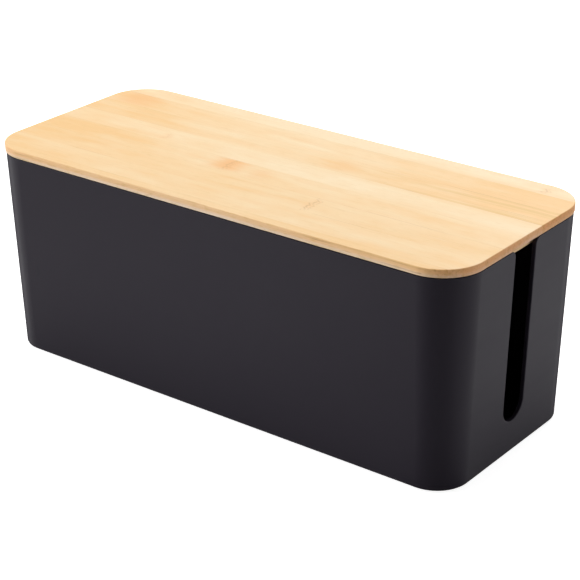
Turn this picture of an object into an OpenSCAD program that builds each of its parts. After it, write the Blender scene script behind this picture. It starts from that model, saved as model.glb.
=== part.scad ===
// Cable management box. A moulded tub has an open-topped cable slot in each end wall, and
// stands on four silicone feet. Its lid lifts straight off: a board of edge-glued bamboo
// laths, held flat and kept in place by two battens that drop into the tub's mouth.
// Lengths are in millimetres. The origin is under the middle of the box, on the surface
// that it stands on. +X runs along the length, -Y is the front and +Z is up.

/* [Tub] */
// Length of the tub over its rim
tub_length = 319; // [260:0.5:400]
// Width of the tub over its rim
tub_width = 132; // [110:0.5:180]
// Height of the tub from its underside to its rim
tub_height = 122.2; // [95:0.1:150]
// Thickness of the side and end walls
wall = 2.5; // [2:0.1:3.5]
// Thickness of the floor
floor_thickness = 2.5; // [2:0.1:4]
// Plan radius of the outer corners at the rim
rim_radius = 24; // [20:0.5:30]
// How far each wall leans in between the rim and the underside
wall_lean = 4.3; // [1.5:0.1:6]
// Radius of the outer edge along the underside
bottom_round = 1.5; // [0.8:0.1:3]
// Radius where the walls meet the floor inside
inner_round = 3; // [1:0.1:4]

/* [Cable slots] */
// Width of each slot
slot_width = 20; // [12:0.5:30]
// Height of the slot's lowest point above the tub's underside
slot_bottom = 19.5; // [10:0.5:30]
// Radius of the two corners of the slot's mouth at the rim
mouth_round = 4; // [2:0.5:6]

/* [Feet] */
// Diameter of each foot
foot_diameter = 12; // [8:0.5:16]
// Whole height of each foot
foot_height = 2.3; // [1.8:0.1:5]
// Depth of the recess that a foot is seated in
foot_sink = 0.8; // [0.4:0.1:1.2]
// Radius of the foot's lower edge
foot_round = 0.6; // [0.3:0.1:0.9]
// Gap round the foot in its recess
foot_gap = 0.2; // [0.1:0.05:0.4]

/* [Lid board] */
// Thickness of the board
lid_thickness = 4.7; // [4.2:0.1:12]
// How far the board stands out past the tub's rim
lid_overhang = 0.5; // [0.3:0.1:3]
// Radius of the board's upper and lower edges
lid_edge_round = 0.8; // [0.4:0.1:1.8]
// Width of a whole lath
lath_width = 18.8; // [14:0.1:26]
// Width that is left of the rearmost lath
rear_lath_width = 14.4; // [6:0.1:18]
// Narrowest strip that is glued on as a lath of its own
least_lath_width = 3; // [2:0.5:5]

/* [Battens] */
// Width of each batten along the box
batten_width = 14; // [10:0.5:20]
// Height of each batten below the board
batten_height = 5.2; // [4:0.1:12]
// Distance from the end wall's inner face to the batten
batten_from_end = 1.5; // [1:0.1:40]
// Chamfer along the batten's lower edges
batten_chamfer = 0.5; // [0.3:0.1:2]
// Gap between the battens and the tub's walls
lid_play = 0.8; // [0.4:0.1:1.5]

/* [Batten screws] */
// Diameter of the shank
screw_diameter = 3; // [2.5:0.1:3.5]
// Diameter of the countersunk head
screw_head_diameter = 6; // [5:0.1:7]
// Height of the countersunk head
screw_head_height = 1.8; // [1.4:0.1:2.4]
// How far the screw bites into the board
screw_bite = 3; // [2:0.1:3.4]
// Distance from the batten's end to the screw
screw_inset = 16; // [10:0.5:30]
// Gap round the screw in its holes
screw_gap = 0.05; // [0.02:0.01:0.1]
// Width of each arm of the cross in the head
cross_width = 0.9; // [0.6:0.1:1.2]
// Span of the cross in the head
cross_span = 3.2; // [2.4:0.1:3.8]
// Depth of the cross in the head
cross_depth = 1.2; // [0.8:0.1:1.3]

/* [Rim pads] */
// Diameter of each pad
pad_diameter = 8; // [6:0.5:9]
// Thickness of each pad, which is the gap under the lid
pad_height = 0.5; // [0.3:0.1:1.5]
// How far the pad's edge stays inside the rim's outer edge
pad_inset = 0.6; // [0.3:0.1:1]
// Distance along the board from each batten to the pads beside it
pad_from_batten = 8; // [2:0.5:40]

/* [Hidden] */
$fn = 96;
// How far a cutter reaches past what it cuts
past = 1;

// Heights above the surface that the box stands on
base_z = foot_height - foot_sink;
rim_z = base_z + tub_height;
lid_z = rim_z + pad_height;
batten_z = lid_z - batten_height;

// The tub's corners are cones round four upright axes, and the lid's are cylinders round
// the same four.
corner_x = tub_length / 2 - rim_radius;
corner_y = tub_width / 2 - rim_radius;
lean = atan(wall_lean / tub_height);
level_wall = wall / cos(lean);
function outer_radius(height) = rim_radius - (tub_height - height) * tan(lean);
function inner_radius(height) = outer_radius(height) - level_wall;

// The lid's board and its laths, counted from the rear
lid_radius = rim_radius + lid_overhang;
lid_length = tub_length + 2 * lid_overhang;
lid_width = tub_width + 2 * lid_overhang;
lath_count = 1 + ceil((lid_width - rear_lath_width - least_lath_width) / lath_width);
function lath_rear_y(i) = lid_width / 2 - (i == 1 ? 0 : rear_lath_width + (i - 2) * lath_width);
function lath_front_y(i) = i == lath_count ? -lid_width / 2 : lath_rear_y(i + 1);

// The battens, which follow the tub's mouth at their lower face
plug_radius = inner_radius(tub_height + pad_height - batten_height) - lid_play;
batten_outer_x = tub_length / 2 - level_wall - batten_from_end;
batten_middle_x = batten_outer_x - batten_width / 2;
screw_y = corner_y + plug_radius - screw_inset;
screw_length = batten_height + screw_bite;
tip_height = screw_diameter / 2;

// The pads, on the rims of the long walls
pad_x = batten_outer_x - batten_width - pad_from_batten - pad_diameter / 2;
pad_y = tub_width / 2 - pad_inset - pad_diameter / 2;

// Name of each corner, its side along X and its side along Y
CORNERS = [["front_left", -1, -1], ["front_right", 1, -1], ["rear_left", -1, 1], ["rear_right", 1, 1]];
ENDS = [["left", -1], ["right", 1]];

// Sweeps a half section, drawn outwards from the corners' axes, round the whole plan, and
// fills the rectangle between the axes to a height.
module round_plan(middle_height) {
    for (turn = [0 : 3]) {
        across = turn % 2 == 0 ? corner_x : corner_y;
        along = turn % 2 == 0 ? corner_y : corner_x;
        rotate(90 * turn) translate([across, along, 0])
            rotate_extrude(angle = 90) children();
        rotate(90 * turn) translate([across, 0, 0])
            rotate([90, 0, 0]) linear_extrude(height = 2 * along, center = true) children();
    }
    translate([-corner_x, -corner_y, 0])
        cube([2 * corner_x, 2 * corner_y, middle_height]);
}

// Half section of a solid with a level bottom and a side that leans out, with the edge
// between the two rounded.
module leaning_section(low_radius, low, high, edge_round, from = 0) {
    high_radius = low_radius + (high - low) * tan(lean);
    centre = [low_radius + edge_round * (tan(lean) - 1 / cos(lean)), low + edge_round];
    outwards = [cos(lean), -sin(lean)];
    difference() {
        polygon([[from, low], [low_radius, low], [high_radius, high], [from, high]]);
        difference() {
            polygon([
                centre,
                [centre[0], low - past],
                [low_radius + past, low - past],
                centre + (edge_round + past) * outwards
            ]);
            translate(centre) circle(r = edge_round);
        }
    }
}

module tub_section() {
    difference() {
        leaning_section(outer_radius(0), 0, tub_height, bottom_round);
        leaning_section(
            inner_radius(floor_thickness), floor_thickness, tub_height + past, inner_round, -past
        );
    }
}

// Outline of a slot, across the box and up from the tub's underside
module slot_outline() {
    half = slot_width / 2;
    translate([0, slot_bottom + half]) circle(r = half);
    translate([-half, slot_bottom + half])
        square([slot_width, tub_height + past - slot_bottom - half]);
    for (side = [0, 1]) {
        mirror([side, 0]) difference() {
            translate([half - past, tub_height - mouth_round])
                square([mouth_round + past, mouth_round + past]);
            translate([half + mouth_round, tub_height - mouth_round])
                circle(r = mouth_round);
        }
    }
}

module slot_cutter() {
    depth = wall_lean + level_wall + 2 * past;
    translate([tub_length / 2 + past - depth, 0, 0])
        rotate([90, 0, 90]) linear_extrude(height = depth) slot_outline();
}

module tub() {
    color([0.21, 0.205, 0.215]) translate([0, 0, base_z]) difference() {
        round_plan(floor_thickness) tub_section();
        for (turn = [0, 180]) {
            rotate(turn) slot_cutter();
        }
        for (c = CORNERS) {
            translate([c[1] * corner_x, c[2] * corner_y, -past])
                cylinder(h = foot_sink + past, d = foot_diameter + 2 * foot_gap);
        }
    }
}

module foot(c) {
    radius = foot_diameter / 2;
    color([0.1, 0.1, 0.1]) translate([c[1] * corner_x, c[2] * corner_y, 0])
        rotate_extrude() {
            translate([0, foot_round]) square([radius, foot_height - foot_round]);
            square([radius - foot_round, foot_height / 2]);
            translate([radius - foot_round, foot_round]) circle(r = foot_round);
        }
}

// Half section of the board, with its upper and lower edges rounded
module board_section() {
    edge = lid_edge_round;
    square([lid_radius - edge, lid_thickness]);
    translate([0, edge]) square([lid_radius, lid_thickness - 2 * edge]);
    for (height = [edge, lid_thickness - edge]) {
        translate([lid_radius - edge, height]) circle(r = edge);
    }
}

module lath(i) {
    width = lath_rear_y(i) - lath_front_y(i);
    color(i % 2 == 0 ? [0.95, 0.82, 0.62] : [0.99, 0.88, 0.70]) difference() {
        intersection() {
            translate([0, 0, lid_z]) round_plan(lid_thickness) board_section();
            translate([-lid_length, lath_front_y(i), lid_z - past])
                cube([2 * lid_length, width, lid_thickness + 2 * past]);
        }
        for (c = CORNERS) {
            screw_place(c) cylinder(h = screw_length, d = screw_diameter + 2 * screw_gap);
        }
    }
}

// Rounded rectangle that drops into the tub's mouth with the lid's play all round
module plug_outline() {
    square([2 * (corner_x + plug_radius), 2 * corner_y], center = true);
    square([2 * corner_x, 2 * (corner_y + plug_radius)], center = true);
    for (c = CORNERS) {
        translate([c[1] * corner_x, c[2] * corner_y]) circle(r = plug_radius);
    }
}

// Section of a batten, across its width and up from its lower face
module batten_section() {
    half = batten_width / 2;
    polygon([
        [-half + batten_chamfer, 0],
        [half - batten_chamfer, 0],
        [half, batten_chamfer],
        [half, batten_height],
        [-half, batten_height],
        [-half, batten_chamfer]
    ]);
}

module batten(e) {
    color([0.86, 0.70, 0.47]) difference() {
        intersection() {
            translate([e[1] * batten_middle_x, 0, batten_z]) rotate([90, 0, 0])
                linear_extrude(height = 2 * tub_width, center = true) batten_section();
            translate([0, 0, batten_z - past])
                linear_extrude(height = batten_height + 2 * past) plug_outline();
        }
        for (c = CORNERS) {
            screw_place(c) {
                cylinder(h = screw_length, d = screw_diameter + 2 * screw_gap);
                head_cone(screw_gap);
            }
        }
    }
}

// Puts a screw, head down and flush with its batten's lower face, in its place
module screw_place(c) {
    translate([c[1] * batten_middle_x, c[2] * screw_y, batten_z]) children();
}

module head_cone(gap) {
    cylinder(
        h = screw_head_height,
        r1 = screw_head_diameter / 2 + gap,
        r2 = screw_diameter / 2 + gap
    );
}

module screw(c) {
    color([0.72, 0.72, 0.74]) screw_place(c) difference() {
        union() {
            head_cone(0);
            cylinder(h = screw_length - tip_height, d = screw_diameter);
            translate([0, 0, screw_length - tip_height])
                cylinder(h = tip_height, r1 = screw_diameter / 2, r2 = 0);
        }
        for (turn = [0, 90]) {
            rotate(turn) translate([-cross_span / 2, -cross_width / 2, -past])
                cube([cross_span, cross_width, cross_depth + past]);
        }
    }
}

module pad(c) {
    color([0.1, 0.1, 0.1]) translate([c[1] * pad_x, c[2] * pad_y, rim_z])
        cylinder(h = pad_height, d = pad_diameter);
}

tub();
for (c = CORNERS) {
    foot(c);
    screw(c);
    pad(c);
}
for (i = [1 : lath_count]) {
    lath(i);
}
for (e = ENDS) {
    batten(e);
}
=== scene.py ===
"""Looks of a cable management box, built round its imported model.

A moulded charcoal tub stands on four silicone feet, and a bamboo board lifts off its rim. The board
is eight glued laths with two battens below, four countersunk screws and four thin rim pads. Lengths
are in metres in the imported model's frame: +X along the box, -Y to its front and +Z up.
"""

import logging
import math
from collections.abc import Callable, Iterable, Mapping, Sequence
from dataclasses import dataclass
from enum import Enum
from functools import cache

import bmesh
import bpy
from mathutils import Matrix, Vector


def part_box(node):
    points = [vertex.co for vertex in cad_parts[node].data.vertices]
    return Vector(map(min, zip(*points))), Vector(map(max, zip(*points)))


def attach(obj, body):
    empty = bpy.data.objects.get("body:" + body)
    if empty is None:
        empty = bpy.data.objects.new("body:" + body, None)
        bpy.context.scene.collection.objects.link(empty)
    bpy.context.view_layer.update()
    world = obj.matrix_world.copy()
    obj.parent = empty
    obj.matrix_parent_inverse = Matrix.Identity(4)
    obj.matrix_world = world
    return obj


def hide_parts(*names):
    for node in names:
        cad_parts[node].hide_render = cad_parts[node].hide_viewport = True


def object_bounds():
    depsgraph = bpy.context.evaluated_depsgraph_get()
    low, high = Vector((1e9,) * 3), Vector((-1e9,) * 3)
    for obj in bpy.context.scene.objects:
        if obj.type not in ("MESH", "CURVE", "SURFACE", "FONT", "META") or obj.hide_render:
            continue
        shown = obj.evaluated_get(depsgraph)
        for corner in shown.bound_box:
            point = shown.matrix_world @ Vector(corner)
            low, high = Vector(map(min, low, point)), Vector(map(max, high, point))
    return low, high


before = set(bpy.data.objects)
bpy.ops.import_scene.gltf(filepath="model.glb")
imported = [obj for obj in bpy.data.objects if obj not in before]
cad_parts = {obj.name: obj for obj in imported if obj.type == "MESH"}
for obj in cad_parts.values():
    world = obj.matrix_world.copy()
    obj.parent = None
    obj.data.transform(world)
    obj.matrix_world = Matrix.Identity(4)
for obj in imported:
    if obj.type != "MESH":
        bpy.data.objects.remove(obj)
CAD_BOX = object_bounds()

LOG = logging.getLogger("cable_box")
MM = 0.001
WELD = 1e-7
SWEEP_WELD = 1e-6
PAST = 1 * MM
SMOOTH_ANGLE = math.radians(28)
SHARP_ANGLE = math.radians(50)
CORNER_STEPS = 28
ARRIS = "arris"
UPRIGHT = "upright"
END_GRAIN = "end_grain"

Mesh = bmesh.types.BMesh
Vert = bmesh.types.BMVert
Edge = bmesh.types.BMEdge
Face = bmesh.types.BMFace
Material = bpy.types.Material
Socket = bpy.types.NodeSocket
Tree = bpy.types.NodeTree
Pair = tuple[float, float]
Triple = tuple[float, float, float]
Color = Triple


class Body(Enum):
    """A body that pieces ride on."""

    BOX = "box"
    LID = "lid"


class Slot(Enum):
    """A material slot of the record."""

    TUB = "tub_plastic"
    LID = "lid_bamboo"
    BATTEN = "batten_bamboo"
    FOOT = "foot_silicone"
    PAD = "pad_silicone"
    SCREW = "screw_steel"


class Spot(Enum):
    """A corner or an end of the box."""

    @property
    def label(self) -> str:
        """The spot as node names have it."""
        return self.name.lower()


class Corner(Spot):
    """A corner of the box, as its side along X and its side along Y."""

    FRONT_LEFT = (-1, -1)
    FRONT_RIGHT = (1, -1)
    REAR_LEFT = (-1, 1)
    REAR_RIGHT = (1, 1)


class End(Spot):
    """An end of the box, as its side along X."""

    LEFT = -1
    RIGHT = 1


class Grain(Enum):
    """The way that bamboo's fibres run."""

    ALONG_X = (1, 0, 0)
    ALONG_Y = (0, 1, 0)


class Carving(Enum):
    """What a cutter does to a solid."""

    AWAY = "DIFFERENCE"
    TO_FIT = "INTERSECT"


# ---- Meshes ----


def placed(name: str, data: bpy.types.ID) -> bpy.types.Object:
    """Adds an object with its data to the scene."""
    made = bpy.data.objects.new(name, data)
    bpy.context.scene.collection.objects.link(made)
    return made


def fresh_mesh() -> Mesh:
    """An empty mesh whose faces can be marked as rounded edges."""
    mesh = bmesh.new()
    mesh.faces.layers.float.new(ARRIS)
    return mesh


def loose_object(name: str, mesh: Mesh) -> bpy.types.Object:
    """Puts a mesh in an object of its own, and frees it."""
    data = bpy.data.meshes.new(name)
    mesh.to_mesh(data)
    mesh.free()
    return placed(name, data)


def carve(solid: Mesh, cutter: Mesh, carving: Carving = Carving.AWAY) -> Mesh:
    """Cuts a solid with a cutter.

    Args:
        solid: The closed mesh to cut, which is freed.
        cutter: One or more closed meshes that don't touch each other, which are freed.
        carving: Whether the cutter's space is taken away or is all that is kept.

    Returns:
        The cut solid.
    """
    blank = loose_object("blank", solid)
    tool = loose_object("tool", cutter)
    modifier = blank.modifiers.new("carve", "BOOLEAN")
    modifier.operation = carving.value
    modifier.solver = "EXACT"
    modifier.object = tool
    cut = bmesh.new()
    cut.from_object(blank, bpy.context.evaluated_depsgraph_get())
    if cut.faces.layers.float.get(ARRIS) is None:
        cut.faces.layers.float.new(ARRIS)
    for used in (blank, tool):
        bpy.data.meshes.remove(used.data)
    bmesh.ops.remove_doubles(cut, verts=cut.verts[:], dist=WELD)
    return cut


def picked(kind: type, geometry: Iterable[Vert | Edge | Face]) -> list[Vert | Edge | Face]:
    """The parts of one kind that an operator gives."""
    return [part for part in geometry if isinstance(part, kind)]


def flat_outline(mesh: Mesh, points: Iterable[Vector]) -> Face:
    """One face with the given corners."""
    return mesh.faces.new([mesh.verts.new(point) for point in points])


def bevel(mesh: Mesh, parts: Iterable[Vert | Edge], radius: float, segments: int, affect: str) -> list[Face]:
    """Rounds corners of a flat outline or edges of a solid, and gives the new faces."""
    return bmesh.ops.bevel(
        mesh, geom=list(parts), offset=radius, offset_type="OFFSET", segments=segments,
        profile=0.5, affect=affect, clamp_overlap=False, material=-1,
    )["faces"]


def round_edges(mesh: Mesh, edges: Iterable[Edge], radius: float, segments: int) -> None:
    """Rounds edges of a solid, and marks the new faces as an arris."""
    arris = mesh.faces.layers.float[ARRIS]
    for face in bevel(mesh, edges, radius, segments, "EDGES"):
        face[arris] = 1.0


def sharp_edges(
    mesh: Mesh, wanted: Callable[[Vector], bool] = lambda middle: True, angle: float = SHARP_ANGLE
) -> list[Edge]:
    """Edges where two faces meet at a sharp angle.

    Args:
        mesh: The mesh to look in.
        wanted: Says from an edge's middle whether the edge is wanted.
        angle: How far the faces' normals are apart at least.

    Returns:
        The sharp edges that are wanted.
    """
    sharp = (edge for edge in mesh.edges if edge.is_manifold and edge.calc_face_angle() > angle)
    return [edge for edge in sharp if wanted((edge.verts[0].co + edge.verts[1].co) / 2)]


def edges_along(mesh: Mesh, axis: int) -> list[Edge]:
    """Edges that run on along an axis, given by its number."""
    return [edge for edge in mesh.edges if abs(edge.verts[0].co[axis] - edge.verts[1].co[axis]) > PAST]


def pull(mesh: Mesh, face: Face, way: Vector) -> None:
    """Extrudes a flat outline to a solid."""
    made = bmesh.ops.extrude_face_region(mesh, geom=[face], use_keep_orig=True)
    bmesh.ops.translate(mesh, verts=picked(Vert, made["geom"]), vec=way)
    bmesh.ops.recalc_face_normals(mesh, faces=mesh.faces[:])


def block(mesh: Mesh, low: Vector, high: Vector) -> list[Vert]:
    """Adds a block between two corners and gives its vertices."""
    shape = Matrix.Translation((low + high) / 2) @ Matrix.Diagonal((*(high - low), 1))
    return bmesh.ops.create_cube(mesh, size=1, matrix=shape)["verts"]


def rounded_block(low: Vector, high: Vector, radius: float) -> Mesh:
    """A block between two corners whose upright edges are rounded."""
    mesh = fresh_mesh()
    block(mesh, low, high)
    bevel(mesh, edges_along(mesh, 2), radius, CORNER_STEPS, "EDGES")
    return mesh


def peg(mesh: Mesh, foot: Vector, height: float, radius: float, top_radius: float | None = None) -> None:
    """Adds an upright cylinder or cone that stands on a point."""
    bmesh.ops.create_cone(
        mesh, cap_ends=True, segments=48, radius1=radius,
        radius2=radius if top_radius is None else top_radius, depth=height,
        matrix=Matrix.Translation(foot + Vector((0, 0, height / 2))),
    )


def half_section(mesh: Mesh, foot: Vector, points: Sequence[Pair], closed: bool) -> list[Vert | Edge]:
    """Draws one side of a turned shape from the radius and height of its points, and gives its parts."""
    verts = [mesh.verts.new(foot + Vector((radius, 0, height))) for radius, height in points]
    pairs = list(zip(verts, verts[1:]))
    if closed:
        pairs.insert(0, (verts[-1], verts[0]))
    return verts + [mesh.edges.new(pair) for pair in pairs]


def turned(foot: Vector, points: Sequence[Pair], steps: int = 64) -> Mesh:
    """Turns a half section round an upright axis to a closed solid.

    Args:
        foot: Where the axis is, and the height that the points count from.
        points: Radius and height of each point, from the axis back to the axis.
        steps: Number of faces round the axis.

    Returns:
        The solid.
    """
    mesh = fresh_mesh()
    bmesh.ops.spin(
        mesh, geom=half_section(mesh, foot, points, closed=False), cent=foot, axis=(0, 0, 1),
        dvec=(0, 0, 0), angle=math.tau, steps=steps, use_merge=True, use_duplicate=False,
    )
    bmesh.ops.remove_doubles(mesh, verts=mesh.verts[:], dist=WELD)
    bmesh.ops.recalc_face_normals(mesh, faces=mesh.faces[:])
    return mesh


def mark_grain(mesh: Mesh, grain: Grain) -> None:
    """Marks on each face of a bamboo piece how upright it is, and how much of it is end grain."""
    upright = mesh.faces.layers.float.new(UPRIGHT)
    end_grain = mesh.faces.layers.float.new(END_GRAIN)
    mesh.normal_update()
    for face in mesh.faces:
        face[upright] = math.hypot(face.normal.x, face.normal.y)
        face[end_grain] = abs(face.normal.dot(grain.value))


class Space:
    """The space of a node, with the foot, radius and height that it has as a round upright piece."""

    def __init__(self, node: str) -> None:
        """Takes the space from the node's box."""
        self.node = node
        self.low, self.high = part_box(node)
        self.foot = Vector(((self.low.x + self.high.x) / 2, (self.low.y + self.high.y) / 2, self.low.z))
        self.radius = (self.high.x - self.low.x) / 2
        self.height = self.high.z - self.low.z


@dataclass(frozen=True)
class Kind:
    """What pieces of one kind share: the first word of their names, their body and their material slot."""

    word: str
    body: Body
    slot: Slot


def install(mesh: Mesh, kind: Kind, node: str, finish: Material) -> None:
    """Makes a closed mesh a piece of the box, at the origin.

    Args:
        mesh: The piece's mesh in the box's frame, which is freed.
        kind: The kind of piece that it is.
        node: The node that it stands for.
        finish: Its material.
    """
    bmesh.ops.recalc_face_normals(mesh, faces=mesh.faces[:])
    if mesh.calc_volume(signed=True) < 0:
        bmesh.ops.reverse_faces(mesh, faces=mesh.faces[:])
    gaps = sum(not edge.is_manifold for edge in mesh.edges)
    faces = len(mesh.faces)
    piece = loose_object(f"{kind.word}_{node}", mesh)
    piece.data.shade_smooth()
    piece.data.set_sharp_from_angle(angle=SMOOTH_ANGLE)
    piece.data.materials.append(finish)
    shading = piece.modifiers.new("even_shading", "WEIGHTED_NORMAL")
    shading.keep_sharp = True
    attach(piece, kind.body.value)
    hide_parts(node)
    LOG.info("%s: %d faces, %d open edges", piece.name, faces, gaps)


# ---- Shader nodes ----


def arithmetic(operation: str, swapped: bool = False) -> Callable[..., "Signal"]:
    """Makes a method of Signal that adds the node of an operation, with the signal last where swapped."""

    def method(self: "Signal", *others: "Feed") -> "Signal":
        """Adds the node and gives its result."""
        return self.net.math(operation, *((*others, self) if swapped else (self, *others)))

    return method


class Signal:
    """A number, vector or colour in a shader. Plain arithmetic on it adds the nodes that do it."""

    def __init__(self, net: "Net", socket: Socket) -> None:
        """Keeps the net and the socket that gives the value."""
        self.net = net
        self.socket = socket

    __add__ = __radd__ = arithmetic("ADD")
    __sub__ = arithmetic("SUBTRACT")
    __rsub__ = arithmetic("SUBTRACT", swapped=True)
    __mul__ = __rmul__ = arithmetic("MULTIPLY")
    __truediv__ = arithmetic("DIVIDE")
    __rtruediv__ = arithmetic("DIVIDE", swapped=True)
    __abs__ = arithmetic("ABSOLUTE")

    def parts(self) -> list["Signal"]:
        """The three numbers of a vector."""
        return list(self.net.outputs(self.net.node("ShaderNodeSeparateXYZ", {0: self})).values())


Feed = Signal | float | Sequence[float]
Feeds = Mapping[str | int, Feed]


class Net:
    """Adds nodes to one node tree and joins their sockets."""

    MIX_FIRST = 6
    MIX_SECOND = 7
    MIX_RESULT = 2
    VECTORS_TO_NUMBER = ("LENGTH", "DOT_PRODUCT")

    def __init__(self, tree: Tree) -> None:
        """Keeps the tree that the nodes go into."""
        self.tree = tree

    def feed(self, socket: Socket, value: Feed) -> None:
        """Joins a socket to a signal, or sets its own value."""
        if isinstance(value, Signal):
            self.tree.links.new(value.socket, socket)
        elif socket.type == "RGBA":
            socket.default_value = (*value[:3], 1)
        else:
            socket.default_value = value

    def node(self, kind: str, feeds: Feeds | None = None, **settings: object) -> bpy.types.Node:
        """Adds a node.

        Args:
            kind: The node's type.
            feeds: What goes into its sockets, by their names or numbers.
            **settings: The node's own settings.

        Returns:
            The new node.
        """
        node = self.tree.nodes.new(kind)
        for setting, value in settings.items():
            setattr(node, setting, value)
        for socket, value in (feeds or {}).items():
            self.feed(node.inputs[socket], value)
        return node

    def add(self, kind: str, feeds: Feeds | None = None, output: str | int = 0, **settings: object) -> Signal:
        """Adds a node as node does, and gives one of its outputs."""
        return Signal(self, self.node(kind, feeds, **settings).outputs[output])

    def outputs(self, node: bpy.types.Node) -> dict[str, Signal]:
        """All outputs of a node, by their names in small letters."""
        return {socket.name.lower(): Signal(self, socket) for socket in node.outputs}

    def math(self, operation: str, *terms: Feed) -> Signal:
        """Does one step of arithmetic, on vectors where a term is one."""
        vectors = any(isinstance(term, Signal) and term.socket.type == "VECTOR" for term in terms)
        kind = "ShaderNodeVectorMath" if vectors else "ShaderNodeMath"
        output = "Value" if operation in self.VECTORS_TO_NUMBER else 0
        return self.add(kind, dict(enumerate(terms)), output, operation=operation)

    def most(self, first: Feed, *others: Feed) -> Signal:
        """The greatest of some numbers."""
        for other in others:
            first = self.math("MAXIMUM", first, other)
        return first

    def fade(self, value: Feed, none: float, full: float) -> Signal:
        """Goes smoothly from 0 where the value is none to 1 where it is full."""
        feeds = {"Value": value, "From Min": none, "From Max": full}
        return self.add("ShaderNodeMapRange", feeds, interpolation_type="SMOOTHSTEP")

    def blend(self, share: Feed, first: Feed, second: Feed, way: str = "MIX") -> Signal:
        """Mixes two colours."""
        feeds = {0: share, self.MIX_FIRST: first, self.MIX_SECOND: second}
        return self.add("ShaderNodeMix", feeds, self.MIX_RESULT, data_type="RGBA", blend_type=way)

    def moved(
        self, place: Feed, offset: Triple = (0, 0, 0), scale: Triple = (1, 1, 1), turn: float = 0
    ) -> Signal:
        """Stretches a pattern's coordinates, turns them round Z and then shifts them."""
        feeds = {"Vector": place, "Location": offset, "Scale": scale, "Rotation": (0, 0, turn)}
        return self.add("ShaderNodeMapping", feeds)

    def noise(self, place: Feed, scale: Feed, detail: float = 2, roughness: float = 0.5) -> Signal:
        """Soft noise about 0.5, with its waves to a millimetre as one number or as a tuple by axis."""
        if isinstance(scale, tuple):
            place = self.moved(place, scale=scale)
            scale = 1
        feeds = {"Vector": place, "Scale": scale, "Detail": detail, "Roughness": roughness}
        return self.add("ShaderNodeTexNoise", feeds)

    def object_mm(self) -> Signal:
        """The piece's own coordinates in millimetres."""
        return self.moved(self.add("ShaderNodeTexCoord", output="Object"), scale=(1 / MM,) * 3)

    def mark(self, name: str) -> Signal:
        """A number that the mesh carries."""
        return self.add("ShaderNodeAttribute", output="Fac", attribute_name=name)

    def ray(self, kind: str) -> Signal:
        """1 for rays of one kind."""
        return self.add("ShaderNodeLightPath", output=f"Is {kind} Ray")

    def effect(self, tree: Tree, **feeds: Feed) -> dict[str, Signal]:
        """Places an effect with its inputs, and gives its outputs."""
        named = {name.capitalize(): value for name, value in feeds.items()}
        return self.outputs(self.node("ShaderNodeGroup", named, node_tree=tree))

    def bump(self, height: Feed, depth: float) -> Signal:
        """A normal that follows a height, where a height of 1 stands out by the depth."""
        return self.add("ShaderNodeBump", {"Strength": 1.0, "Distance": depth, "Height": height})

    def outlet(self, **feeds: Feed) -> Tree:
        """Ends an effect with its outputs, each a number, and gives its tree."""
        named = {name.capitalize(): value for name, value in feeds.items()}
        for name in named:
            self.tree.interface.new_socket(name=name, in_out="OUTPUT", socket_type="NodeSocketFloat")
        self.node("NodeGroupOutput", named)
        return self.tree


def new_effect(name: str, **inputs: float | Sequence[float]) -> tuple[Net, list[Signal]]:
    """Starts a shader node group.

    Args:
        name: The group's name.
        **inputs: The inputs and their defaults, each a number or three of them.

    Returns:
        The group's net and its inputs in order.
    """
    tree = bpy.data.node_groups.new(name, "ShaderNodeTree")
    for label, value in inputs.items():
        kind = "NodeSocketFloat" if isinstance(value, (int, float)) else "NodeSocketVector"
        socket = tree.interface.new_socket(name=label.capitalize(), in_out="INPUT", socket_type=kind)
        socket.default_value = value
    net = Net(tree)
    given = net.outputs(net.node("NodeGroupInput"))
    return net, [given[label] for label in inputs]


@cache
def fibre_effect() -> Tree:
    """Bamboo's fibres along X: slow drift, blotches, flecks, streaks, fine fibres and darker bundles."""
    net, (place,) = new_effect("fibre", place=(0, 0, 0))
    sway_reach = 5.0
    sway = net.noise(place, (0.011, 0.04, 0.04)) - 0.5
    place += net.add("ShaderNodeCombineXYZ", {"Y": sway * sway_reach})
    flecks = net.noise(place, (0.17, 0.8, 0.8), roughness=0.55)
    bundles = net.noise(place, (0.016, 1.5, 1.5), detail=3, roughness=0.6)
    return net.outlet(
        drift=net.noise(place, (0.010, 0.07, 0.07)),
        mottle=net.noise(place, (0.05, 0.13, 0.13), roughness=0.4),
        flecks=net.fade(flecks, 0.5, 0.75),
        streaks=net.noise(place, (0.006, 0.30, 0.30), detail=3, roughness=0.6),
        fibres=net.noise(place, (0.03, 3.2, 3.2), roughness=0.6),
        bundles=net.fade(bundles, 0.56, 0.74),
    )


@cache
def culm_node_effect() -> Tree:
    """A node of the bamboo's stem: a soft warm patch across the lath with two fine rings."""
    net, (place, centre, reach) = new_effect("culm_node", place=(0, 0, 0), centre=(0, 0, 0), reach=(9, 9, 0))
    ragged, ring_gap, second_strength = 9.0, 2.4, 0.6
    along, across, _ = (place - centre).parts()
    reach_along, reach_across, _ = reach.parts()
    along += (net.noise(place, (0.05, 0.5, 0.5), detail=3) - 0.5) * ragged
    held = net.fade(abs(across / reach_across), 1.25, 0.4)
    first = net.fade(abs(along), 0.9, 0.1)
    second = net.fade(abs(along - ring_gap), 0.7, 0.1) * second_strength
    patch = net.fade(abs(along / reach_along), 1.0, 0.0)
    return net.outlet(patch=patch * held, ring=net.most(first, second) * held)


@cache
def glue_line_effect() -> Tree:
    """The hairline of glue along a lath's two joints, stronger and weaker along its length."""
    net, (place, rear, front, width) = new_effect(
        "glue_line", place=(0, 0, 0), rear=10.0, front=-10.0, width=0.25
    )
    across = place.parts()[1]
    near = net.math("MINIMUM", rear - across, across - front) / width
    patchy = net.noise(place, (0.03, 0.06, 0.06), detail=3)
    return net.outlet(line=net.fade(near, 1.0, 0.2) * net.fade(patchy, 0.42, 0.66))


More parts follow.
